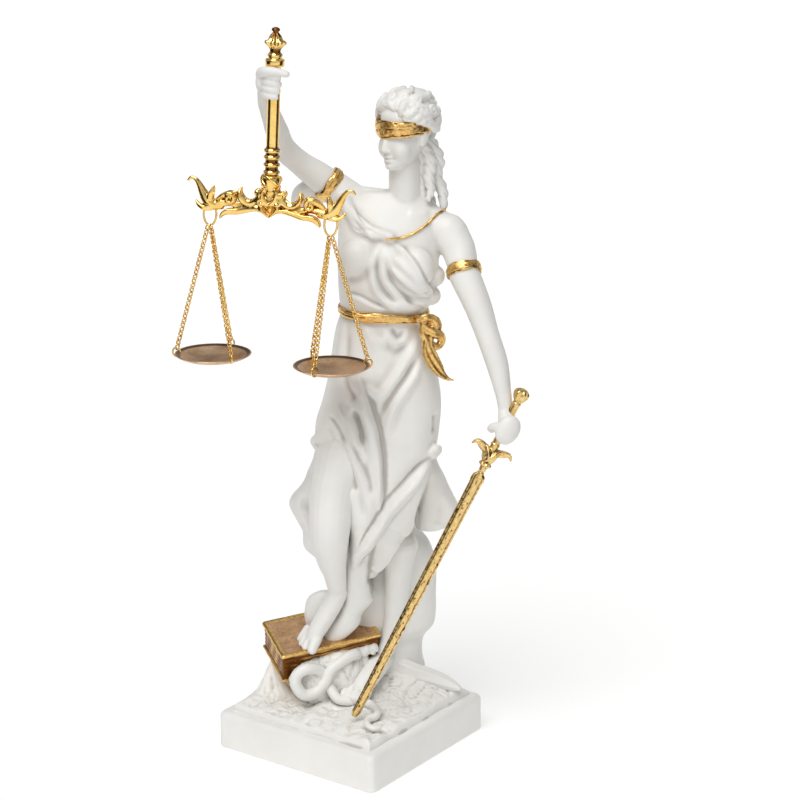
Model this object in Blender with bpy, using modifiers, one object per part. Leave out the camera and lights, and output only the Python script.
"""Lady Justice: a cast resin figurine with a gilt metal sword and gilt metal scales.

Frame: metres, +Z up, the origin at the centre of the plinth's underside, the plinth's front to -Y.
The free forms are drawn in design millimetres, seen from the show side: how far across (to the
viewer's right), how far back (away from the viewer) and how far up from the floor. place() turns
such points into the frame, as shares of the figure's own height above its plinth.
"""

import math

import bmesh
import bpy
import numpy as np
from mathutils import Matrix, Vector

# Driving dimensions, in metres
FIGURE_HEIGHT = 0.2915
PLINTH_WIDTH = 0.082
PLINTH_HEIGHT = 0.0165
PLINTH_EDGE = 0.0018
GROUND_INSET = 0.0045
BOOK_LENGTH = 0.0445
BOOK_DEPTH = 0.0274
BOOK_THICKNESS = 0.0132
BOOK_EDGE = 0.0006
FIT_GAP = 0.0003

SHAFT_RADIUS = 0.0025
SHAFT_RING_RADIUS = 0.0037
FINIAL_RING_RADIUS = 0.0038
BEAM_SPAN = 0.0494
BEAM_THICKNESS = 0.0050
BEAM_DROOP = 0.0026
HORN_RISE = 0.0105
BEAM_RING_RADIUS = 0.0028
BEAM_RING_WIRE = 0.0005

PAN_DIAMETER = 0.031
PAN_DEPTH = 0.0032
PAN_WALL = 0.0009
CHAIN_DROP = 0.0542
CHAIN_WIDTH = 0.0021
CHAIN_LINK = 0.0042

GRIP_RADIUS = 0.0019
POMMEL_RADIUS = 0.0032
GUARD_SPAN = 0.0165
GUARD_DEPTH = 0.0024
BLADE_WIDTH = 0.0058
BLADE_TIP_WIDTH = 0.0042
BLADE_THICKNESS = 0.0030

# The design grid of the free forms: its heights and how far the show side is turned from the front
DESIGN_HEIGHT = 291.5
DESIGN_PLINTH = 16.5
SHOW_TURN = math.radians(35.6)
UNIT = FIGURE_HEIGHT / DESIGN_HEIGHT

# How finely the free forms are cast, in design millimetres, and how many triangles they keep
FIGURE_GRAIN = 0.85
METAL_GRAIN = 0.55
FIGURE_TRIANGLES = 5700
BEAM_TRIANGLES = 440
GUARD_TRIANGLES = 140

# Colours as (red, green, blue), roughness, metallic
RESIN = ((0.80, 0.79, 0.75), 0.5, 0.0)
GILT = ((0.83, 0.58, 0.20), 0.22, 1.0)
OLD_GILT = ((0.55, 0.36, 0.12), 0.38, 1.0)
COPPER = ((0.42, 0.24, 0.13), 0.5, 0.8)


def place(points):
    """Turns design points (across, back, up) into the frame, in metres."""
    p = np.asarray(points, float)
    x = p[..., 0] * math.cos(SHOW_TURN) - p[..., 1] * math.sin(SHOW_TURN)
    y = p[..., 0] * math.sin(SHOW_TURN) + p[..., 1] * math.cos(SHOW_TURN)
    z = p[..., 2] - DESIGN_PLINTH
    return np.stack([x * UNIT, y * UNIT, z * UNIT + PLINTH_HEIGHT], -1)


def spot(across, back, up):
    """One design point in the frame, as a vector."""
    return Vector(place([across, back, up]))


def curve_through(rows, count):
    """A smooth curve through the rows (Catmull-Rom): count rows, in any number of columns."""
    p = np.asarray(rows, float)
    p = np.vstack([2 * p[0] - p[1], p, 2 * p[-1] - p[-2]])
    t = np.linspace(0, len(p) - 3, count)
    i = np.minimum(t.astype(int), len(p) - 4)
    f = (t - i)[:, None]
    a, b, c, d = p[i], p[i + 1], p[i + 2], p[i + 3]
    bend = 2 * a - 5 * b + 4 * c - d
    return 0.5 * (2 * b + (c - a) * f + bend * f ** 2 + (3 * b - a - 3 * c + d) * f ** 3)


def skin_rings(rings):
    """Closes a stack of equal rings (rows, sides, 3) into one body, with a flat cap at each end."""
    rows, sides = rings.shape[:2]
    index = np.arange(rows * sides).reshape(rows, sides)
    after = np.roll(index, -1, axis=1)
    walls = np.stack([index[:-1], after[:-1], after[1:], index[1:]], -1).reshape(-1, 4)
    faces = walls.tolist() + [index[0][::-1].tolist(), index[-1].tolist()]
    return rings.reshape(-1, 3), faces


def tube(rows, sides=14, step=1.6):
    """A round limb through rows of (across, back, up, radius), with a dome at each end."""
    rows = np.asarray(rows, float)
    length = np.linalg.norm(np.diff(rows[:, :3], axis=0), axis=1).sum()
    line = curve_through(rows, max(4, int(length / step)))
    way = np.gradient(line[:, :3], axis=0)
    way /= np.linalg.norm(way, axis=1)[:, None]
    first = np.cross(way[0], [0.3, 0.8, 0.5])
    side = [first / np.linalg.norm(first)]
    for direction in way[1:]:
        turned = side[-1] - direction * (side[-1] @ direction)
        side.append(turned / np.linalg.norm(turned))
    side = np.array(side)
    dome = np.radians([88.0, 60.0, 30.0])
    ends = []
    for end, sign in ((0, -1.0), (-1, 1.0)):
        radius = line[end, 3]
        centres = line[end, :3] + sign * np.sin(dome)[:, None] * radius * way[end]
        ends.append((centres, np.cos(dome) * radius))
    centre = np.vstack([ends[0][0], line[:, :3], ends[1][0][::-1]])
    radius = np.concatenate([ends[0][1], line[:, 3], ends[1][1][::-1]])
    side = np.vstack([np.repeat(side[:1], 3, 0), side, np.repeat(side[-1:], 3, 0)])
    way = np.vstack([np.repeat(way[:1], 3, 0), way, np.repeat(way[-1:], 3, 0)])
    over = np.cross(way, side)
    angle = np.linspace(0, 2 * math.pi, sides, endpoint=False)
    ring = np.cos(angle)[None, :, None] * side[:, None] + np.sin(angle)[None, :, None] * over[:, None]
    return skin_rings(centre[:, None] + ring * radius[:, None, None])


def column(rows, sides=40, step=1.6, power=2.3):
    """An upright form from rows of (up, left, right, front, back): rounded oblong sections."""
    rows = np.asarray(rows, float)
    line = curve_through(rows, max(4, int(abs(rows[-1, 0] - rows[0, 0]) / step)))
    if rows[-1, 0] < rows[0, 0]:
        line = line[::-1]
    angle = np.linspace(0, 2 * math.pi, sides, endpoint=False)
    c, s = np.cos(angle), np.sin(angle)
    c = np.sign(c) * np.abs(c) ** (2 / power)
    s = np.sign(s) * np.abs(s) ** (2 / power)
    across = (line[:, 1] + line[:, 2])[:, None] / 2 + np.outer((line[:, 2] - line[:, 1]) / 2, c)
    back = (line[:, 3] + line[:, 4])[:, None] / 2 + np.outer((line[:, 4] - line[:, 3]) / 2, s)
    up = np.repeat(line[:, :1], sides, axis=1)
    return skin_rings(np.stack([across, back, up], -1))


def blob(centre, radii, turn=0.0, rings=14, sides=20):
    """An egg form about a centre, its radii (along, deep, up), turned about the upright."""
    lat = np.linspace(-math.pi / 2 + 0.05, math.pi / 2 - 0.05, rings)[:, None]
    lon = np.linspace(0, 2 * math.pi, sides, endpoint=False)[None, :]
    x = np.cos(lat) * np.cos(lon) * radii[0]
    y = np.cos(lat) * np.sin(lon) * radii[1]
    z = np.sin(lat) * radii[2] + 0 * lon
    c, s = math.cos(turn), math.sin(turn)
    return skin_rings(np.stack([x * c - y * s, x * s + y * c, z], -1) + np.asarray(centre, float))


def make_object(name, points, faces, parts, material):
    """A named mesh object from points in metres."""
    mesh = bpy.data.meshes.new(name)
    mesh.from_pydata(points.tolist(), [], faces)
    mesh.update()
    obj = bpy.data.objects.new(name, mesh)
    parts.objects.link(obj)
    mesh.materials.append(material)
    return obj


def evaluated(obj):
    """Applies an object's modifiers and returns its new mesh."""
    bpy.context.view_layer.update()
    depsgraph = bpy.context.evaluated_depsgraph_get()
    return bpy.data.meshes.new_from_object(obj.evaluated_get(depsgraph))


def fuse(forms, voxel, parts):
    """Casts overlapping closed forms as one skin of small quads. Returns its points and quads."""
    points = []
    faces = []
    count = 0
    for form_points, form_faces in forms:
        points.append(form_points)
        faces.extend([[i + count for i in face] for face in form_faces])
        count += len(form_points)
    mesh = bpy.data.meshes.new("loose_forms")
    mesh.from_pydata(np.vstack(points).tolist(), [], faces)
    obj = bpy.data.objects.new("loose_forms", mesh)
    parts.objects.link(obj)
    remesh = obj.modifiers.new("Fuse", "REMESH")
    remesh.mode = "VOXEL"
    remesh.voxel_size = voxel
    skin = evaluated(obj)
    points = np.empty(len(skin.vertices) * 3)
    skin.vertices.foreach_get("co", points)
    quads = np.array([tuple(face.vertices) for face in skin.polygons])
    bpy.data.objects.remove(obj)
    return points.reshape(-1, 3), quads


def relax(points, quads, weight, rounds):
    """Draws each point towards the mean of its neighbours, by its own weight (0 to 1)."""
    edges = np.vstack([quads[:, [k, (k + 1) % 4]] for k in range(4)])
    count = np.bincount(edges[:, 0], minlength=len(points))
    for _ in range(rounds):
        mean = np.empty_like(points)
        for axis in range(3):
            near = points[edges[:, 1], axis]
            mean[:, axis] = np.bincount(edges[:, 0], near, len(points)) / count
        points = points + (mean - points) * weight[:, None]
    return points


def normals_of(points, quads):
    """The outward direction at each point, from the quads round it."""
    one, two, three, four = (points[quads[:, k]] for k in range(4))
    face = np.cross(three - one, four - two)
    total = np.zeros_like(points)
    for k in range(4):
        for axis in range(3):
            total[:, axis] += np.bincount(quads[:, k], face[:, axis], len(points))
    return total / np.maximum(np.linalg.norm(total, axis=1), 1e-9)[:, None]


def carve(points, normals, strokes):
    """Raises folds along lines drawn on the show side, in (across, up).

    A ridge stands up along its line. A hem is high on its left, seen along the line, with a
    sharp edge at the line, and dies away over a few widths.
    """
    facing = np.clip(-normals[:, 1] * 2.2 + 0.15, 0, 1)
    lift = np.zeros(len(points))
    for kind, height, width, nearest, farthest, line in strokes:
        line = curve_through(line, 6 * len(line))
        low = line.min(0) - 3 * width
        high = line.max(0) + 3 * width
        inside = (points[:, 0] > low[0]) & (points[:, 0] < high[0]) & (points[:, 2] > low[1])
        inside &= (points[:, 2] < high[1]) & (points[:, 1] > nearest) & (points[:, 1] < farthest)
        chosen = np.nonzero(inside)[0]
        spots = points[chosen][:, [0, 2]]
        best = np.full(len(chosen), 1e9)
        signed = np.zeros(len(chosen))
        along = np.zeros(len(chosen))
        for k in range(len(line) - 1):
            step = line[k + 1] - line[k]
            rel = spots - line[k]
            part = np.clip(rel @ step / (step @ step), 0, 1)
            gap = rel - part[:, None] * step
            distance = np.hypot(gap[:, 0], gap[:, 1])
            closer = distance < best
            best[closer] = distance[closer]
            turn = step[0] * rel[:, 1] - step[1] * rel[:, 0]
            signed[closer] = (np.sign(turn) * distance)[closer]
            along[closer] = (k + part[closer]) / (len(line) - 1)
        fade = np.clip(np.minimum(along, 1 - along) * 5, 0, 1)
        if kind == "ridge":
            shape = np.exp(-(best / width) ** 2)
        else:
            edge = np.tanh(signed / (0.22 * width))
            shape = edge * np.exp(-np.abs(signed) / width)
        lift[chosen] += height * shape * fade
    return points + normals * (lift * facing)[:, None]


# The woman's body, as rows of design millimetres
RIGHT_LEG = [(2, 0, 148, 12.5), (-3, -9, 130, 10.2), (-7.2, -15, 115, 8.7), (-8, -17, 105, 8.3),
             (-8.3, -15.5, 96, 7.9), (-7.6, -12, 87, 6.9), (-6.2, -7, 79, 5.0), (-5.2, -3, 72, 3.8)]
RIGHT_FOOT = [(-5.2, -1.5, 71, 3.8), (-8.5, -1.6, 64, 4.3), (-13.5, -2.4, 56.5, 4.8),
              (-17.3, -3.0, 50.5, 4.2)]
RIGHT_TOES = [(-17.5, -4.2, 49.5, 3.0), (-15.6, -5.8, 46.6, 3.0)]
LEFT_LEG = [(22, 6, 118, 11), (22, 4, 100, 9), (21.3, 1, 88, 7.2), (20.2, 2.5, 76, 6),
            (19.3, 4, 64, 5.2), (17.5, 5, 50, 4.1), (15.5, 5, 38, 3.6)]
LEFT_FOOT = [(16.5, 8.5, 32, 4), (14.5, 3, 31, 4.3), (10, -4.5, 27.4, 4.3), (7, -10, 24.4, 3.2)]
TORSO = [(184, -2.8, 31, -9, 17), (190, -3.6, 32, -10, 17.5), (197, -4.4, 35, -11.5, 18),
         (206, -4.7, 36.4, -11, 18), (214, -4.7, 37, -9.5, 18), (222, -4.5, 38, -7, 18.5),
         (229, -4, 38, -3.5, 18.5), (234, -1, 34, 0, 17), (238, 6, 30, 3, 14)]
BREASTS = [((4.2, -4.8, 211.5), (8.4, 6.6, 8.8)), ((26.2, -7.0, 208.8), (8.8, 6.8, 9.0))]
SHOULDERS = [(0, 12, 233, 6.6), (9, 11, 232, 7.0), (22.5, 9, 229.5, 7.5), (33, 6, 225, 7.6),
             (42, 3, 220.5, 7.6)]
NECK = [(22.8, 8.5, 228, 7.2), (22.8, 7.2, 240, 6.6), (22.4, 6.2, 252, 6.4)]
RIGHT_ARM = [(3, 11.5, 231, 8.2), (-6, 12.5, 238.5, 7.0), (-12.7, 12, 243.5, 6.0),
             (-19.9, 10.8, 249.0, 5.1), (-26.3, 8, 255.6, 5.0), (-28.6, 1.5, 263.4, 4.7),
             (-30.5, -6, 271.1, 4.0), (-31.8, -13, 276.8, 3.5)]
LEFT_ARM = [(40, 4, 222, 8.0), (44.5, 0.5, 215.5, 7.1), (47, -5.5, 206, 6.4),
            (52.2, -10, 194.5, 5.7), (56.2, -12.8, 183, 4.9), (60.2, -14.8, 171.2, 4.6),
            (62.8, -15.9, 159, 3.4), (63.8, -16.4, 152.5, 3.0)]

# Her dress: the skirt's main mass, the panels behind and beside it, and the trailing hem
SKIRT = [(190, -3, 30.5, -9.5, 17), (182, -5.6, 30.5, -11, 18.5), (174, -7.1, 33, -12.5, 20),
         (160, -9.3, 36.8, -14.5, 22), (150, -11.8, 38, -15.5, 22.5), (140, -14.6, 37.3, -17, 22),
         (130, -13.2, 35.5, -18.5, 20), (121, -6.5, 31.5, -20, 18), (113, -1.2, 25.5, -20.5, 12),
         (105, 0.3, 18.5, -19.5, 9), (96, 0, 11.8, -17.5, 8), (88, -0.2, 6.6, -14, 8),
         (81.5, 0, 2.4, -10, 4)]
BACK_PANEL = [(150, -8, 34, 6, 23), (130, -12, 35, 6, 23.5), (110, -14, 35, 7, 24.5),
              (94, -11, 29, 7, 25.5), (89, -9, 30, 7, 25.5), (83, -8, 34, 6, 26), (73, -7, 35.9, 6, 27),
              (61, -7, 35.6, 6, 28), (52, -7, 35.6, 6, 29), (46, -6, 35.2, 6, 29.5),
              (40, -6, 30.4, 8, 30), (32, -6, 30, 7, 31), (25, -7, 32, 6, 32)]
RIGHT_BILLOW = [(131, -14.2, 2, -3, 14), (122, -16.6, -2, 0, 14), (114, -20, -5, 1, 14),
                (108, -24.4, -7, 2, 13), (103.5, -26.2, -8, 3, 12), (98, -23.6, -8, 2, 11.5),
                (92, -20.5, -6, 1, 11), (85.5, -20.2, -5, 1, 11), (80.5, -15, -4, 1, 10)]
LEFT_FLAP = [(136, 20, 36.8, -7, 12), (127, 22, 35.8, -7, 12), (118, 24, 39.2, -7, 12),
             (110, 26, 43, -6, 12), (104, 27, 45.4, -4, 11), (99, 27, 45.4, -2.5, 10),
             (96, 27, 43, -1, 9), (93.5, 28, 37, 0, 8)]
INNER_PANEL = [(128, 15, 34, -11, 10), (116, 11, 31.5, -12, 8), (105, 7, 27.5, -12.5, 6),
               (95, 4.5, 24, -11, 6), (88, 3.5, 20.5, -9.5, 5), (80, 1.5, 15, -7.5, 4),
               (74, 1.5, 10.5, -6, 3)]
CASCADE = [(92, -2, 10, -7, 6), (80, -2.5, 7.6, -7, 6), (72, -3, 7, -6, 6), (66, -3, 9.2, -6, 6),
           (63.5, -3, 9.6, -6, 6), (58, -5, 5.0, -5, 5), (53, -8, 3.8, -5, 4), (48, -11, -0.5, -4, 4),
           (44, -12, -5, -3, 3)]
BODICE_FOLDS = [((35.2, 4, 203.5), (4.2, 8, 4.2)), ((33.5, 3, 195.5), (4.2, 9, 3.6)),
                ((20, -4, 194.5), (13.5, 8.5, 4.2))]
HIP_KNOT = [((-13.4, -4, 134.2), (3.4, 3.6, 3.2)), ((-12.2, -6, 128.6), (2.6, 3.0, 2.4))]
FOOT_CLOTH = ((-11.8, 4.5, 55), (8.6, 4.2, 11.2))
SLEEVE = [((-15.5, 19, 237), (9.5, 3.4, 5.2)), ((-20.5, 20, 234.5), (4.6, 3.0, 5.0))]
STRAP = [(-3.2, 12, 239.6, 2.6), (-1.4, 3, 233.5, 2.6), (3.5, -3.5, 228, 2.4),
         (10, -6.6, 224.2, 2.1), (17, -7.6, 222, 2.0)]

# Folds cut in the dress: kind, height, width, nearest and farthest depth, and the line
FOLDS = [
    ("hem", 1.5, 5.0, -40, 10, [(-6.5, 121), (-1.5, 114.5), (0.3, 106), (0, 96), (-0.3, 84)]),
    ("hem", 1.9, 5.0, -40, 12, [(33.7, 128.5), (25, 116), (17, 106), (13.7, 100.5), (6.3, 89),
                                (0, 82)]),
    ("hem", 1.4, 4.0, -40, 10, [(6.5, 151), (11, 141), (13.2, 129), (13.8, 116), (12.5, 101)]),
    ("ridge", 1.3, 2.4, -40, 10, [(-9, 150), (-2, 141), (4, 131), (7.5, 119), (8, 106)]),
    ("ridge", 1.2, 2.2, -40, 10, [(-12, 141), (-6, 133), (0, 123), (3.5, 112), (4, 98)]),
    ("ridge", -0.9, 1.8, -40, 10, [(-1.5, 147), (4, 138.5), (6.8, 130)]),
    ("ridge", -0.9, 1.6, -40, 10, [(-3, 127), (2.2, 119), (5, 109)]),
    ("ridge", 1.2, 2.6, -40, 6, [(3, 186), (2, 175), (7, 163), (13.5, 159), (20, 166), (27, 183)]),
    ("ridge", -0.9, 2.0, -40, 6, [(6, 184), (6.5, 176), (11, 170), (17, 171), (24, 184)]),
    ("ridge", 0.9, 2.0, -40, 6, [(-3, 181), (-5, 168), (-2, 156), (5, 148)]),
    ("ridge", 1.0, 2.2, -40, 6, [(28, 182), (22, 166), (15, 152), (11, 140)]),
    ("ridge", 0.9, 2.4, -40, 6, [(29.5, 180), (27.5, 160), (24, 140), (20, 122)]),
    ("ridge", 1.2, 1.9, -40, 6, [(16.5, 221), (12, 212), (10.5, 203), (12, 195)]),
    ("ridge", 1.2, 1.9, -40, 6, [(17, 221), (16.5, 211), (18, 202), (24, 194)]),
    ("ridge", 1.2, 2.0, -40, 6, [(18, 221), (20.5, 210), (26, 201), (34, 196)]),
    ("ridge", -1.0, 1.5, -40, 6, [(17, 217), (14, 208), (14.5, 199)]),
    ("ridge", -1.0, 1.5, -40, 6, [(18, 217), (19, 207), (25, 198)]),
    ("ridge", 0.9, 1.8, -40, 8, [(36, 125), (39, 115), (39.5, 104), (36, 96)]),
    ("hem", 1.0, 3.0, -40, 9, [(5, 45), (10, 56), (9.8, 65), (7, 73), (9, 84), (18, 92)]),
]

# The trims that are painted gold on the casting: a ring of cloth each, and the belt's knot and tail
BELT = [(190.8, -3.6, 31.6, -11.0, 18), (187.4, -3.8, 31.8, -11.4, 18.2), (184, -3.6, 31.6, -11.0, 18)]
BELT_KNOT = [((31.4, -8.2, 185.6), (4.2, 3.4, 3.4)), ((34.4, -8.0, 180.6), (3.4, 3.0, 3.6))]
BELT_TAIL = [(34, -9.5, 179, 2.2), (36, -10.5, 172.5, 3.0), (38.6, -9.5, 167.5, 2.4),
             (41.2, -8, 162.6, 0.9)]
NECK_CORD = [(17, -8.6, 222, 0.9), (23, -6.8, 221.9, 0.9), (30.5, -2.6, 225.0, 0.9),
             (36.5, 3.0, 230.5, 0.9), (39.5, 8, 232, 0.9)]

# Her head: where it is, which way it faces, and its forms in its own directions
HEAD_CENTRE = (22.4, 4.6, 263.6)
HEAD_TURN = math.radians(-47.6)
HEAD_NOD = math.radians(6)
SKULL = [((0, 2.6, 3.8), (10.2, 12.0, 11.2)), ((0, -1.6, -4.5), (8.2, 9.6, 11.4)),
         ((0, -5.2, -11.2), (5.6, 5.4, 5.6)), ((0, -9.6, -14.4), (2.9, 2.4, 2.5))]
NOSE = [(0, -10.6, 1.0, 1.0), (0, -12.0, -3.4, 1.2), (0, -12.6, -6.2, 1.4)]
LIPS = [((0, -10.5, -9.8), (2.8, 1.4, 0.9)), ((0, -10.2, -11.4), (2.3, 1.4, 1.0))]
EARS = [((9.3, 1.8, -3.0), (1.5, 2.3, 3.6)), ((-9.3, 1.8, -3.0), (1.5, 2.3, 3.6))]
BLINDFOLD = [(4.9, -9.5, 9.5, -11.0, 11.5), (1.6, -9.7, 9.7, -11.4, 11.9),
             (-1.7, -9.4, 9.4, -11.0, 11.6)]
HAIR_CAP = ((0, 3.8, 5.2), (11.2, 12.2, 11.6))
HAIR_LOCKS = 8
LONG_LOCKS = [[(31, 5, 256, 2.6), (33.6, 6, 249, 2.7), (34.2, 5, 242, 2.2), (32.4, 2.0, 236.5, 1.4)],
              [(33, 9, 257, 3.0), (36, 10, 249, 3.2), (37.4, 10, 241, 3.2), (38, 8.5, 234, 2.8)],
              [(29, 14, 256, 3.6), (31, 17, 247, 4.0), (32, 17.5, 238, 3.8), (34, 15, 230, 3.2)],
              [(23, 16, 256, 3.2), (23, 19, 246, 3.4), (24, 19.5, 236, 3.0)]]
BUN = ((27.5, 17.5, 262), (7.0, 6.2, 7.4))

# The ground, the log and the snake
MOUNDS = [(2, 14, 16.5, 13), (-35, 6, 14.5, 8.5), (20, 16, 7, 12), (-14, 16, 7, 12), (30, 8, 5, 9)]
LOG = [(25, 9, 28.4, 4.6), (32, 6.4, 27.2, 4.3), (38, 4.2, 26.6, 3.9), (42.5, 2.5, 25.6, 3.3)]
SNAKE = [(5, 14, 35, 2.4), (1.7, 10.8, 35, 2.4), (-3, 8, 33, 2.4), (-8.6, 3, 29.8, 2.4),
         (-11, -2.5, 26.8, 2.4), (-15.1, -8.2, 25.2, 2.4), (-20.1, -8.6, 24.8, 2.4),
         (-24, -2, 24.8, 2.4), (-24, 6, 25.2, 2.4), (-20, 10.5, 25.5, 2.4), (-14.6, 9.5, 24.8, 2.4),
         (-10.8, 3, 23.6, 2.3), (-8.6, -5, 23.2, 2.2), (-5.6, -11.4, 23, 2.1),
         (-1, -13.1, 23, 2.0), (3.2, -12.6, 23.2, 1.9), (8, -16.2, 23, 1.9),
         (11.1, -22.5, 22.8, 1.8), (10.7, -28.5, 22.8, 1.7), (7.6, -31.7, 22.6, 1.6),
         (7.2, -36.6, 22.5, 1.5), (9.6, -39.6, 22.3, 1.3), (12.6, -38.4, 22.2, 1.0)]
BOOK_CORNER = (-28.9, -12.0, 30.3)
BOOK_ALONG = (0.932, 0.350, 0.092)
BOOK_INWARD = (-0.42, 0.88, 0.22)

# Where the metal pieces stand: two points of each axis, and the beam's direction across the shaft
SHAFT_TOP = (-26.9, -25, 307.8)
SHAFT_FOOT = (-30.1, -25, 238.8)
BEAM_WAY = (0.975, -0.223, 0.0)
RIGHT_FIST = 285.2
GRIP_TOP = (69.8, -18.3, 158.6)
BLADE_TIP = (1.56, -29.8, 22.9)
LEFT_FIST = 145.6
GUARD_LEVEL = 135.2
POMMEL_LEVEL = 158.4
BORE_REACH = 12


def head_point(points):
    """Turns points of the head (to her left, backward, up) into design points."""
    p = np.asarray(points, float)
    y = p[..., 1] * math.cos(HEAD_NOD) - p[..., 2] * math.sin(HEAD_NOD)
    z = p[..., 1] * math.sin(HEAD_NOD) + p[..., 2] * math.cos(HEAD_NOD)
    across = p[..., 0] * math.cos(HEAD_TURN) - y * math.sin(HEAD_TURN)
    back = p[..., 0] * math.sin(HEAD_TURN) + y * math.cos(HEAD_TURN)
    return np.stack([across, back, z], -1) + np.array(HEAD_CENTRE)


def on_head(form):
    """Moves a form from the head's own directions to its place."""
    points, faces = form
    return head_point(points), faces


def head_forms():
    """The skull, face, ears, blindfold and hair, as overlapping closed forms."""
    forms = [on_head(blob(centre, radii)) for centre, radii in SKULL + LIPS + EARS]
    forms.append(on_head(tube(NOSE, sides=8)))
    forms.append(on_head(column(BLINDFOLD)))
    forms.append(on_head(blob(*HAIR_CAP)))
    cap, cap_radii = np.array(HAIR_CAP[0]), np.array(HAIR_CAP[1])
    for side in (-1, 1):
        for k in range(HAIR_LOCKS):
            lock = []
            for step in np.linspace(0, 1, 8):
                around = math.radians(8 + 9 * k + 80 * step)
                lift = math.radians(16 + 8.5 * k - 26 * step + 7 * math.sin(9 * step + 2 * k))
                way = np.array([side * math.sin(around) * math.cos(lift),
                                -math.cos(around) * math.cos(lift), math.sin(lift)])
                lock.append((*(cap + cap_radii * way * 0.98), 1.5 + 0.6 * math.sin(step * math.pi)))
            forms.append(on_head(tube(lock, sides=8)))
    forms.append(blob(*BUN))
    forms.extend(tube(lock, sides=10) for lock in LONG_LOCKS)
    return forms


def axis_at(top, foot, up):
    """The design point of a straight axis at a height."""
    top = np.array(top, float)
    foot = np.array(foot, float)
    return foot + (top - foot) * (up - foot[2]) / (top[2] - foot[2])


def fist_forms(centre, axis, toward, bore, wrist):
    """A closed hand about an axis: a palm toward the wrist, four curled fingers and a thumb.

    toward points from the axis to the back of the hand, and bore is the radius left for the rod.
    """
    axis = np.array(axis, float) / np.linalg.norm(axis)
    toward = np.array(toward, float) - axis * (np.array(toward, float) @ axis)
    toward /= np.linalg.norm(toward)
    side = np.cross(axis, toward)
    finger = 1.65
    reach = bore + finger * 0.72
    forms = []
    for k in range(4):
        level = centre + axis * (k - 1.5) * finger * 1.75
        rows = []
        for angle in np.radians(np.linspace(35, 250, 8)):
            spot_at = level + reach * (toward * math.cos(angle) + side * math.sin(angle))
            rows.append((*spot_at, finger * (1.0 if angle < 3 else 0.88)))
        forms.append(tube(rows, sides=10, step=1.0))
    palm = centre + toward * (bore + 1.2)
    forms.append(tube([(*(palm - axis * 4.0), 3.0), (*palm, 3.5), (*(palm + axis * 3.6), 3.2)]))
    forms.append(tube([(*np.array(wrist[:3]), wrist[3]), (*(palm + (np.array(wrist[:3]) - palm) * 0.3),
                                                         3.3), (*palm, 3.0)]))
    thumb = []
    for angle, lift, radius in ((-20, 3.2, 1.9), (-70, 4.2, 1.8), (-120, 4.6, 1.6), (-165, 4.4, 1.4)):
        turn = math.radians(angle)
        out = bore + 2.0
        thumb.append((*(centre + axis * lift + out * (toward * math.cos(turn)
                                                      + side * math.sin(turn))), radius))
    forms.append(tube(thumb, sides=10, step=1.0))
    return forms


def ground_form():
    """Rough ground over the plinth's top, inset from its edge, with mounds where things rest."""
    half = (PLINTH_WIDTH / 2 - GROUND_INSET) / UNIT
    count = 64
    line = np.linspace(-1, 1, count)
    x, y = np.meshgrid(line, line, indexing="ij")
    wander = 1 + 0.012 * np.sin(9 * x + 5 * y) - 0.014 * np.sin(13 * y - 6 * x)
    x, y = x * half * wander, y * half * wander
    across = x * math.cos(SHOW_TURN) + y * math.sin(SHOW_TURN)
    back = -x * math.sin(SHOW_TURN) + y * math.cos(SHOW_TURN)
    rim = np.minimum(half - np.abs(x), half - np.abs(y))
    high = 2.2 + 1.7 * np.clip(rim / 4.5, 0, 1)
    high += 0.45 * np.sin(0.62 * x + 0.3 * y) * np.sin(0.5 * y - 0.2 * x)
    high += 0.28 * np.sin(1.3 * x - 0.7 * y) * np.cos(1.1 * y + 0.5 * x)
    for centre_across, centre_back, rise, spread in MOUNDS:
        far = (across - centre_across) ** 2 + (back - centre_back) ** 2
        high += rise * np.exp(-far / spread ** 2) * np.clip(rim / 6, 0, 1)
    top = np.stack([across, back, high + DESIGN_PLINTH], -1).reshape(-1, 3)
    floor = np.stack([across, back, 0 * high + DESIGN_PLINTH - 2.5], -1).reshape(-1, 3)
    index = np.arange(count * count).reshape(count, count)
    quads = np.stack([index[:-1, :-1], index[1:, :-1], index[1:, 1:], index[:-1, 1:]], -1)
    quads = quads.reshape(-1, 4)
    edge = np.concatenate([index[:-1, 0], index[-1, :-1], index[:0:-1, -1], index[0, :0:-1]])
    low = edge + count * count
    wall = np.stack([edge, low, np.roll(low, -1), np.roll(edge, -1)], -1)
    faces = quads.tolist() + (quads[:, ::-1] + count * count).tolist() + wall.tolist()
    return np.vstack([top, floor]), faces


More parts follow.
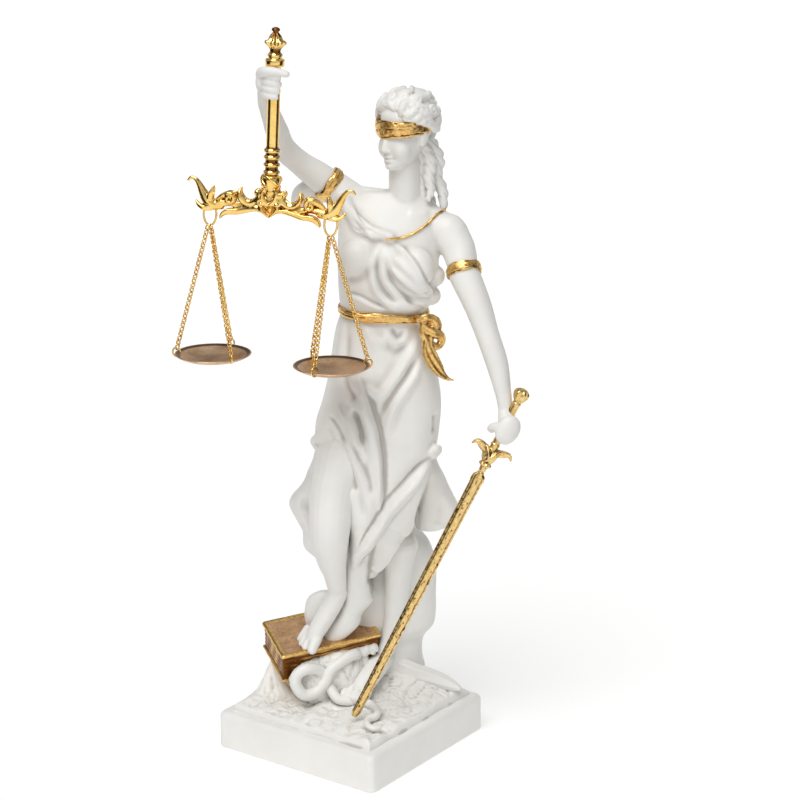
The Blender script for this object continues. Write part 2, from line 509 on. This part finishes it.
def figure_forms():
    """Every overlapping form of the casting above the plinth, the book apart."""
    shaft_bore = (SHAFT_RADIUS + FIT_GAP) / UNIT
    grip_bore = (GRIP_RADIUS + FIT_GAP) / UNIT
    forms = [ground_form()]
    forms.extend(tube(rows) for rows in (RIGHT_LEG, RIGHT_FOOT, RIGHT_TOES, LEFT_LEG, LEFT_FOOT,
                                         SHOULDERS, NECK, RIGHT_ARM, LEFT_ARM, STRAP,
                                         BELT_TAIL, LOG, SNAKE))
    forms.append(tube(NECK_CORD, sides=8))
    forms.extend(column(rows) for rows in (TORSO, SKIRT, BACK_PANEL, RIGHT_BILLOW, LEFT_FLAP,
                                           INNER_PANEL, CASCADE, BELT))
    forms.extend(blob(*rows) for rows in BREASTS + BODICE_FOLDS + HIP_KNOT + BELT_KNOT
                 + SLEEVE)
    forms.append(blob(*FOOT_CLOTH))
    forms.extend(head_forms())
    shaft = np.array(SHAFT_TOP) - np.array(SHAFT_FOOT)
    grip = np.array(GRIP_TOP) - np.array(BLADE_TIP)
    forms.extend(fist_forms(axis_at(SHAFT_TOP, SHAFT_FOOT, RIGHT_FIST), shaft, (-0.9, 0.5, 0),
                            shaft_bore, RIGHT_ARM[-1]))
    forms.extend(fist_forms(axis_at(GRIP_TOP, BLADE_TIP, LEFT_FIST), grip, (0.55, 0.75, 0),
                            grip_bore, LEFT_ARM[-1]))
    return forms


def softness(points):
    """How much each point is relaxed: most at the shoulders, neck and hips, least at the hands."""
    up = points[:, 2]
    soft = np.full(len(points), 0.35)
    soft[(up > 205) & (up < 246)] = 0.6
    soft[(up > 120) & (up < 182)] = 0.5
    soft[up > 246] = 0.25
    soft[(points[:, 0] > 56) | (points[:, 0] < -27)] = 0.25
    soft[up < 30] = 0.3
    return soft


def back_folds(points, normals):
    """Long hanging folds on the back of the skirt: waves across it that fade at hip and hem."""
    facing = np.clip(normals[:, 1] * 1.6 - 0.2, 0, 1)
    level = np.clip((182 - points[:, 2]) / 25, 0, 1) * np.clip((points[:, 2] - 24) / 10, 0, 1)
    level *= (points[:, 0] < 50) & (points[:, 0] > -28)
    spread = (points[:, 0] - 13) / (0.8 + 0.25 * level)
    wave = np.sin(spread * 0.62 + 0.9 * np.sin(points[:, 2] * 0.03))
    return points + normals * (1.0 * wave * facing * level)[:, None]


def triangles_of(mesh):
    """How many triangles a mesh makes."""
    return sum(len(face.vertices) - 2 for face in mesh.polygons)


def cylinder_between(name, start, end, radius, sides, collection):
    """A plain round bar from one frame point to another."""
    bar = bmesh.new()
    bmesh.ops.create_cone(bar, cap_ends=True, segments=sides, radius1=radius, radius2=radius,
                          depth=(end - start).length)
    mesh = bpy.data.meshes.new(name)
    bar.to_mesh(mesh)
    bar.free()
    obj = bpy.data.objects.new(name, mesh)
    obj.location = (start + end) / 2
    obj.rotation_mode = "QUATERNION"
    obj.rotation_quaternion = (end - start).to_track_quat("Z", "Y")
    collection.objects.link(obj)
    return obj


def boolean(obj, other, operation):
    """Adds a Boolean modifier on the exact solver and hides its other object."""
    modifier = obj.modifiers.new(other.name, "BOOLEAN")
    modifier.operation = operation
    modifier.solver = "EXACT"
    modifier.object = other
    other.hide_render = True
    other.display_type = "WIRE"


def block(name, size, edge, collection):
    """A box with bevelled edges, centred at its own origin."""
    form = bmesh.new()
    bmesh.ops.create_cube(form, size=1.0)
    bmesh.ops.scale(form, vec=size, verts=form.verts)
    mesh = bpy.data.meshes.new(name)
    form.to_mesh(mesh)
    form.free()
    obj = bpy.data.objects.new(name, mesh)
    collection.objects.link(obj)
    bevel = obj.modifiers.new("Edge", "BEVEL")
    bevel.width = edge
    bevel.segments = 2
    return obj


def book_block(collection):
    """The closed book, tilted on its rock: a block laid along its own two edges."""
    along = Vector(place(BOOK_ALONG) - place((0, 0, 0))).normalized()
    inward = Vector(place(BOOK_INWARD) - place((0, 0, 0))).normalized()
    up = along.cross(inward).normalized()
    inward = up.cross(along)
    book = block("book", (BOOK_LENGTH, BOOK_DEPTH, BOOK_THICKNESS), BOOK_EDGE, collection)
    centre = spot(*BOOK_CORNER) + along * BOOK_LENGTH / 2 + inward * BOOK_DEPTH / 2
    centre += up * BOOK_THICKNESS / 2
    turn = Matrix((along, inward, up)).transposed().to_4x4()
    book.matrix_world = Matrix.Translation(centre) @ turn
    return book


def build_figure(parts, cutters, material):
    """The whole resin casting: plinth, ground, book, snake and woman in one solid."""
    points, quads = fuse(figure_forms(), FIGURE_GRAIN, parts)
    points = relax(points, quads, softness(points), 3)
    points = carve(points, normals_of(points, quads), FOLDS)
    points = back_folds(points, normals_of(points, quads))
    points = relax(points, quads, np.full(len(points), 0.3), 1)
    figure = make_object("figure", place(points), quads.tolist(), parts, material)
    thin = figure.modifiers.new("Fewer faces", "DECIMATE")
    thin.ratio = FIGURE_TRIANGLES / (2 * len(quads))
    coarse = evaluated(figure)
    figure.modifiers.clear()
    figure.data = coarse
    figure.data.materials.clear()
    figure.data.materials.append(material)
    plinth = block("plinth", (PLINTH_WIDTH, PLINTH_WIDTH, PLINTH_HEIGHT), PLINTH_EDGE, cutters)
    plinth.location.z = PLINTH_HEIGHT / 2
    boolean(figure, plinth, "UNION")
    boolean(figure, book_block(cutters), "UNION")
    bores = (("shaft_bore", SHAFT_TOP, SHAFT_FOOT, RIGHT_FIST, SHAFT_RADIUS),
             ("grip_bore", GRIP_TOP, BLADE_TIP, LEFT_FIST, GRIP_RADIUS))
    for name, top, foot, level, radius in bores:
        start = Vector(place(axis_at(top, foot, level - BORE_REACH)))
        end = Vector(place(axis_at(top, foot, level + BORE_REACH)))
        cutter = cylinder_between(name, start, end, radius + FIT_GAP, 16, cutters)
        boolean(figure, cutter, "DIFFERENCE")
    return figure


def turned(name, profile, start, end, sides, parts, material):
    """A piece turned on an axis: rows of (distance along it from the start, radius)."""
    rows = sorted(profile, key=lambda row: -row[0])
    mesh = bpy.data.meshes.new(name)
    points = [(radius, 0.0, along) for along, radius in rows]
    points = [(0.0, 0.0, rows[0][0])] + points + [(0.0, 0.0, rows[-1][0])]
    mesh.from_pydata(points, [(k, k + 1) for k in range(len(points) - 1)], [])
    obj = bpy.data.objects.new(name, mesh)
    parts.objects.link(obj)
    screw = obj.modifiers.new("Turn", "SCREW")
    screw.steps = sides
    screw.render_steps = sides
    screw.use_merge_vertices = True
    screw.merge_threshold = 0.00001
    obj.location = start
    obj.rotation_mode = "QUATERNION"
    obj.rotation_quaternion = (end - start).to_track_quat("Z", "Y")
    mesh.materials.append(material)
    return obj


def thinned(obj, triangles):
    """Adds a Decimate modifier that brings a mesh near a number of triangles."""
    count = triangles_of(evaluated(obj))
    if count > triangles:
        thin = obj.modifiers.new("Fewer faces", "DECIMATE")
        thin.ratio = triangles / count


def beam_frame():
    """The beam's centre and its directions along, up the shaft and forward, in the frame."""
    foot = spot(*SHAFT_FOOT)
    up = (spot(*SHAFT_TOP) - foot).normalized()
    along = Vector(place(BEAM_WAY) - place((0, 0, 0)))
    along = (along - up * along.dot(up)).normalized()
    return foot, along, up, along.cross(up)


def build_beam(parts, material):
    """Finial, shaft with its rings and balusters, and the leaf beam, fused as one casting."""
    foot, along, up, forward = beam_frame()
    length = (spot(*SHAFT_TOP) - foot).length
    shaft = SHAFT_RADIUS
    ring = SHAFT_RING_RADIUS
    top_ring = FINIAL_RING_RADIUS
    rows = [(-3, shaft * 0.4), (-1, shaft * 1.04), (2, ring), (4, shaft * 0.9), (6, ring),
            (9, ring * 0.95), (11.5, shaft), (12.5, ring * 0.92), (13.8, ring * 0.92),
            (14.3, shaft), (15.5, ring * 0.86), (16.8, ring * 0.86), (17.3, shaft),
            (19, shaft * 1.2), (20.2, shaft * 1.2), (20.6, shaft)]
    tail = [(15, shaft), (14.9, top_ring), (12.4, top_ring), (12.2, shaft * 0.9),
            (11.4, shaft * 1.15), (10.2, shaft * 1.15), (9.2, shaft * 0.75), (7.6, top_ring * 0.9),
            (5.6, top_ring), (5, shaft * 0.96), (3.6, shaft * 0.72), (2.4, shaft * 0.44),
            (1.4, shaft * 0.76), (0.4, shaft * 0.48)]
    profile = [(up_at * UNIT, radius) for up_at, radius in rows]
    profile += [(length - down * UNIT, radius) for down, radius in tail]
    shaft_obj = turned("scale_beam", profile, foot, spot(*SHAFT_TOP), 10, parts, material)
    forms = []
    half = BEAM_SPAN / 2 * 1000
    thick = BEAM_THICKNESS * 1000
    horn = HORN_RISE * 1000
    droop = BEAM_DROOP * 1000
    bar = []
    for share in np.linspace(-1, 1, 33):
        bump = 0.5 + 0.5 * math.cos(share * 5 * math.pi)
        bar.append((share * half, 0.0, -droop * share ** 2, thick * (0.36 + 0.14 * bump)))
    forms.append(tube(bar, sides=8, step=1.2))
    for side in (-1, 1):
        end = side * half
        forms.append(tube([(end * 0.88, 0, -droop, thick * 0.45),
                           (end * 1.06, 0, -droop * 0.8, thick * 0.48),
                           (end * 1.20, 0, horn * 0.2, thick * 0.40),
                           (end * 1.29, 0, horn * 0.62, thick * 0.26),
                           (end * 1.36, 0, horn * 0.72, thick * 0.16)], sides=8, step=1.0))
        for share, rise in ((0.30, 0.55), (0.55, 0.45), (0.78, 0.5)):
            low = -droop * share ** 2
            forms.append(tube([(end * (share - 0.09), 0, low + 0.4, thick * 0.30),
                               (end * share, 0, low + thick * rise, thick * 0.32),
                               (end * (share + 0.07), 0, low + thick * rise * 1.3, thick * 0.2)],
                              sides=8, step=1.0))
        forms.append(blob((side * thick * 0.75, 0, thick * 0.75), (thick * 0.55,) * 3))
    forms.append(blob((0, 0, 0.8), (thick * 0.9, thick * 0.75, thick * 0.9)))
    points, quads = fuse(forms, METAL_GRAIN, parts)
    basis = np.array([along, forward, up]) * 0.001
    points = points @ basis + np.array(foot)
    beam = make_object("beam_leaves", points, quads.tolist(), parts, material)
    thinned(beam, BEAM_TRIANGLES)
    beam.data = evaluated(beam)
    beam.modifiers.clear()
    boolean(shaft_obj, beam, "UNION")
    return shaft_obj, beam


def hang_points():
    """The two points of the beam where the hanging rings are, her right side first."""
    foot, along, up, forward = beam_frame()
    below = up * (BEAM_THICKNESS / 2 + BEAM_DROOP + FIT_GAP + BEAM_RING_RADIUS + BEAM_RING_WIRE)
    return [foot + along * (side * BEAM_SPAN / 2) - below for side in (-1, 1)]


def build_ring(name, centre, parts, material):
    """One hanging ring under the beam, a plain wire ring."""
    foot, along, up, forward = beam_frame()
    bpy.ops.mesh.primitive_torus_add(major_segments=12, minor_segments=5,
                                     major_radius=BEAM_RING_RADIUS, minor_radius=BEAM_RING_WIRE)
    ring = bpy.context.object
    bpy.context.collection.objects.unlink(ring)
    parts.objects.link(ring)
    ring.name = name
    ring.data.materials.append(material)
    ring.location = centre
    ring.rotation_mode = "QUATERNION"
    ring.rotation_quaternion = forward.to_track_quat("Z", "Y")
    return ring


def build_pan(name, centre, parts, material):
    """One shallow dish, turned, with a thicker rim. centre is the middle of its rim."""
    radius = PAN_DIAMETER / 2
    mesh = bpy.data.meshes.new(name)
    outer = [(radius, 0.0, 0.0), (radius * 0.86, 0.0, -PAN_DEPTH * 0.55),
             (radius * 0.55, 0.0, -PAN_DEPTH * 0.92), (0.0, 0.0, -PAN_DEPTH)]
    inner = [(0.0, 0.0, PAN_WALL - PAN_DEPTH), (radius * 0.55, 0.0, PAN_WALL - PAN_DEPTH * 0.92),
             (radius * 0.84, 0.0, PAN_WALL - PAN_DEPTH * 0.55), (radius - PAN_WALL, 0.0, 0.0)]
    points = outer + inner
    edges = [(k, k + 1) for k in range(len(points) - 1) if k != len(outer) - 1]
    edges.append((len(points) - 1, 0))
    mesh.from_pydata(points, edges, [])
    pan = bpy.data.objects.new(name, mesh)
    parts.objects.link(pan)
    screw = pan.modifiers.new("Turn", "SCREW")
    screw.steps = 20
    screw.render_steps = 20
    screw.use_merge_vertices = True
    screw.merge_threshold = 0.00001
    pan.location = centre
    mesh.materials.append(material)
    return pan


def build_chain(name, top, foot, parts, material):
    """A link chain as one strip that is wide one way and then the other, link by link."""
    way = foot - top
    count = max(3, round(way.length / CHAIN_LINK))
    way_unit = way.normalized()
    side = way_unit.cross(Vector((0.3, -0.9, 0.1))).normalized()
    over = way_unit.cross(side)
    wide = CHAIN_WIDTH / 2
    slim = wide * 0.42
    rings = []
    for k in range(2 * count + 1):
        centre = top + way * (k / (2 * count))
        if k % 2 == 0:
            across, deep = slim, slim
        elif k % 4 == 1:
            across, deep = wide, slim
        else:
            across, deep = slim, wide
        rings.append([centre + side * across, centre + over * deep, centre - side * across,
                      centre - over * deep])
    points, faces = skin_rings(np.array(rings))
    return make_object(name, points, faces, parts, material)


def build_scales(parts, gilt, copper):
    """The hanging rings, the dishes and their three chains each."""
    radius = PAN_DIAMETER / 2
    for side, hang, phase in zip(("right", "left"), hang_points(), (220, 40)):
        build_ring("beam_ring_" + side, hang, parts, gilt)
        centre = hang - Vector((0, 0, CHAIN_DROP))
        build_pan("pan_" + side, centre, parts, copper)
        for k in range(3):
            angle = math.radians(phase + 120 * k)
            out = Vector((math.cos(angle), math.sin(angle), 0))
            top = hang - Vector((0, 0, BEAM_RING_RADIUS + BEAM_RING_WIRE + FIT_GAP))
            top += out * CHAIN_WIDTH * 0.8
            foot = centre + out * (radius - PAN_WALL / 2) + Vector((0, 0, FIT_GAP))
            build_chain("chain_%s_%d" % (side, k + 1), top, foot, parts, gilt)


def build_sword(parts, gilt):
    """Pommel, grip, leaf guard and ridged blade, fused as one casting."""
    tip = Vector(place(BLADE_TIP))
    grip_top = Vector(place(GRIP_TOP))
    way = (grip_top - tip).normalized()

    def along(level):
        return Vector(place(axis_at(GRIP_TOP, BLADE_TIP, level)))

    pommel = along(POMMEL_LEVEL)
    guard = along(GUARD_LEVEL)
    length = (pommel - guard).length
    ball = POMMEL_RADIUS
    grip = GRIP_RADIUS
    deep = GUARD_DEPTH
    profile = [(-deep * 2.5, BLADE_WIDTH * 0.36), (-deep * 1.75, BLADE_WIDTH * 0.5),
               (-deep * 1.08, grip), (0.0, grip * 1.5), (deep, grip * 1.1), (deep * 1.25, grip),
               (length - ball * 1.19, grip), (length - ball * 0.75, ball * 0.66), (length, ball),
               (length + ball * 0.75, ball * 0.66), (length + ball * 1.05, ball * 0.3)]
    sword = turned("sword", profile, guard, pommel, 10, parts, gilt)
    view = Vector(place((0, -1, 0)) - place((0, 0, 0))).normalized()
    flat = way.cross(view).normalized()
    edge = way.cross(flat).normalized()
    shoulder = guard - way * deep * 1.88
    rings = []
    for share, taper in ((0.0, 0.8), (0.025, 1.0), (0.97, 1.0), (1.0, 0.45)):
        centre = shoulder.lerp(tip, share)
        wide = (BLADE_WIDTH + (BLADE_TIP_WIDTH - BLADE_WIDTH) * share) / 2 * taper
        thick = BLADE_THICKNESS / 2 * taper * (1 - 0.25 * share)
        rings.append([centre + flat * wide, centre + edge * thick, centre - flat * wide,
                      centre - edge * thick])
    points, faces = skin_rings(np.array(rings))
    blade = make_object("blade", points, faces, parts, gilt)
    wide = GUARD_SPAN / 2 * 1000
    forms = [tube([(-wide, 0, 1.6, 1.0), (-wide * 0.72, 0, 0.4, 1.7), (-wide * 0.35, 0, 0, 1.3),
                   (0, 0, 0.3, 2.2), (wide * 0.35, 0, 0, 1.3), (wide * 0.72, 0, -0.4, 1.7),
                   (wide, 0, -1.6, 1.0)], sides=8, step=1.0),
             blob((0, 0, 0.6), (3.0, deep * 1000, 2.6))]
    guard_points, quads = fuse(forms, METAL_GRAIN, parts)
    basis = np.array([flat, edge, way]) * 0.001
    leaves = make_object("guard_leaves", guard_points @ basis + np.array(guard), quads.tolist(),
                         parts, gilt)
    thinned(leaves, GUARD_TRIANGLES)
    leaves.data = evaluated(leaves)
    leaves.modifiers.clear()
    boolean(sword, blade, "UNION")
    boolean(sword, leaves, "UNION")
    return sword, blade, leaves


def flatten(obj, tools, material):
    """Makes an object's evaluated mesh its own, then drops the objects that it was joined from."""
    mesh = evaluated(obj)
    obj.modifiers.clear()
    obj.data = mesh
    mesh.materials.clear()
    mesh.materials.append(material)
    for tool in tools:
        bpy.data.objects.remove(tool)


def paint(name, look):
    """A plain Principled material."""
    colour, roughness, metallic = look
    material = bpy.data.materials.new(name)
    material.use_nodes = True
    shader = material.node_tree.nodes["Principled BSDF"]
    shader.inputs["Base Color"].default_value = (*colour, 1)
    shader.inputs["Roughness"].default_value = roughness
    shader.inputs["Metallic"].default_value = metallic
    return material


def main():
    """Clears the scene and builds every piece."""
    for obj in list(bpy.data.objects):
        bpy.data.objects.remove(obj)
    parts = bpy.data.collections.new("lady_justice_statue")
    cutters = bpy.data.collections.new("cutters")
    bpy.context.scene.collection.children.link(parts)
    bpy.context.scene.collection.children.link(cutters)
    resin = paint("white_resin", RESIN)
    gilt = paint("gilt_metal", GILT)
    old_gilt = paint("old_gilt_metal", OLD_GILT)
    copper = paint("copper_brown_metal", COPPER)
    figure = build_figure(parts, cutters, resin)
    flatten(figure, list(cutters.objects), resin)
    sword, blade, leaves = build_sword(parts, old_gilt)
    flatten(sword, (blade, leaves), old_gilt)
    beam, beam_leaves = build_beam(parts, gilt)
    flatten(beam, (beam_leaves,), gilt)
    build_scales(parts, gilt, copper)


main()
